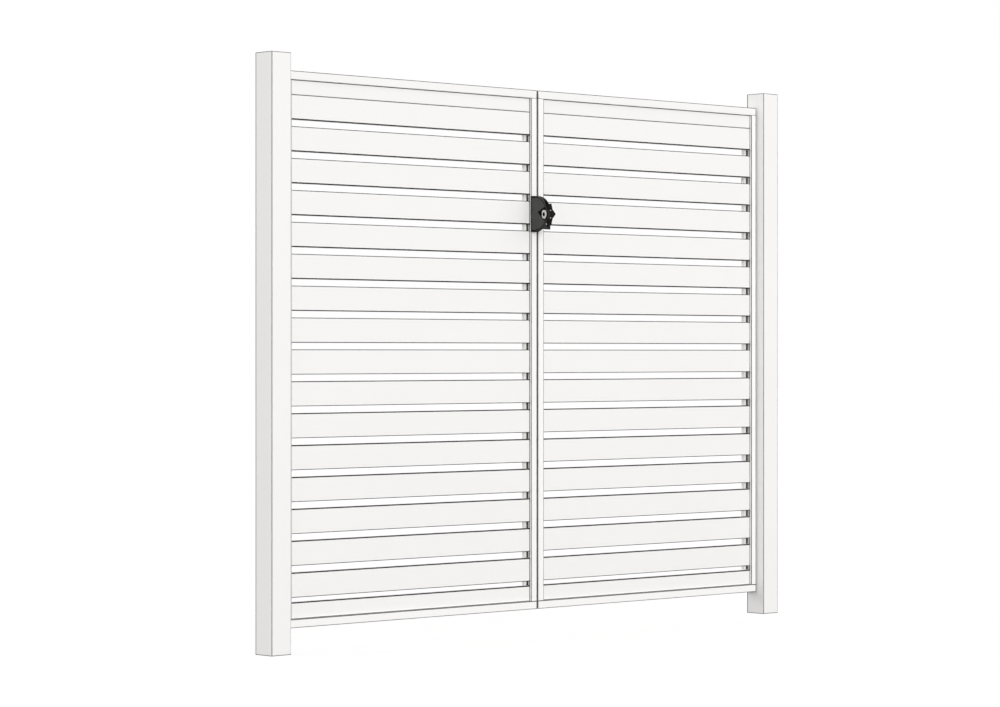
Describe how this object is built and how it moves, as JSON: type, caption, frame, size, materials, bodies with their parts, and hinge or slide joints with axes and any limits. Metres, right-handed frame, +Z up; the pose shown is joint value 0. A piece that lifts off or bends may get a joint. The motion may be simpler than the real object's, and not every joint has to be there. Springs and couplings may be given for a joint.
{
  "type": "slatted double gate with posts",
  "caption": "Pair of swinging slatted gate leaves between square posts, with rear butt hinges and a star-wheel lock on the meeting stile.",
  "frame": {"origin": "centre of the left post's foot face, on the ground", "axes": "+X along the gate from the left post to the right post, +Y to the rear where the leaves swing, +Z up"},
  "size_m": [2.41, 0.1667, 1.9],
  "materials": {
    "white_coating": "fine-grained white powder coat on extruded aluminium",
    "white_plastic": "moulded white end caps",
    "black_plastic": "black moulded spacers",
    "hinge_coating": "white powder coat on steel hinges",
    "steel_pin": "turned stainless hinge pins",
    "lock_plastic": "black moulded polymer with a fine grain",
    "lock_metal": "satin nickel key cylinder"
  },
  "bodies": {
    "posts": {"left_post": "white_coating", "left_post_cap": "white_coating", "left_lower_post_hinge": "hinge_coating", "left_lower_hinge_pin": "steel_pin", "left_upper_post_hinge": "hinge_coating", "left_upper_hinge_pin": "steel_pin", "right_post": "white_coating", "right_post_cap": "white_coating", "right_lower_post_hinge": "hinge_coating", "right_lower_hinge_pin": "steel_pin", "right_upper_post_hinge": "hinge_coating", "right_upper_hinge_pin": "steel_pin"},
    "left_leaf": {"left_top_rail": "white_coating", "left_bottom_rail": "white_coating", "left_meeting_stile": "white_coating", "left_hinge_stile": "white_coating", "left_slats": "white_coating", "left_top_board": "white_coating", "left_bottom_board": "white_coating", "left_rail_end_caps": "white_plastic", "left_meeting_spacers": "black_plastic", "left_hinge_spacers": "black_plastic", "left_lower_leaf_hinge": "hinge_coating", "left_upper_leaf_hinge": "hinge_coating", "lock_housing": "lock_plastic", "lock_cylinder": "lock_metal"},
    "right_leaf": {"right_top_rail": "white_coating", "right_bottom_rail": "white_coating", "right_meeting_stile": "white_coating", "right_hinge_stile": "white_coating", "right_slats": "white_coating", "right_top_board": "white_coating", "right_bottom_board": "white_coating", "right_rail_end_caps": "white_plastic", "right_meeting_spacers": "black_plastic", "right_hinge_spacers": "black_plastic", "right_lower_leaf_hinge": "hinge_coating", "right_upper_leaf_hinge": "hinge_coating"},
    "lock_wheel": {"lock_wheel": "lock_plastic"}
  },
  "joints": [
    {"name": "left_leaf_swing", "type": "hinge", "parent": "posts", "child": "left_leaf", "pos_m": [0.0425, 0.047, 0.9635], "axis": [0, 0, 1], "range_deg": [0, 110]},
    {"name": "right_leaf_swing", "type": "hinge", "parent": "posts", "child": "right_leaf", "pos_m": [2.2875, 0.047, 0.9635], "axis": [0, 0, -1], "range_deg": [0, 110]},
    {"name": "lock_wheel_turn", "type": "hinge", "parent": "left_leaf", "child": "lock_wheel", "pos_m": [1.14325, -0.072, 1.422], "axis": [1, 0, 0], "range_deg": [0, 90]}
  ]
}
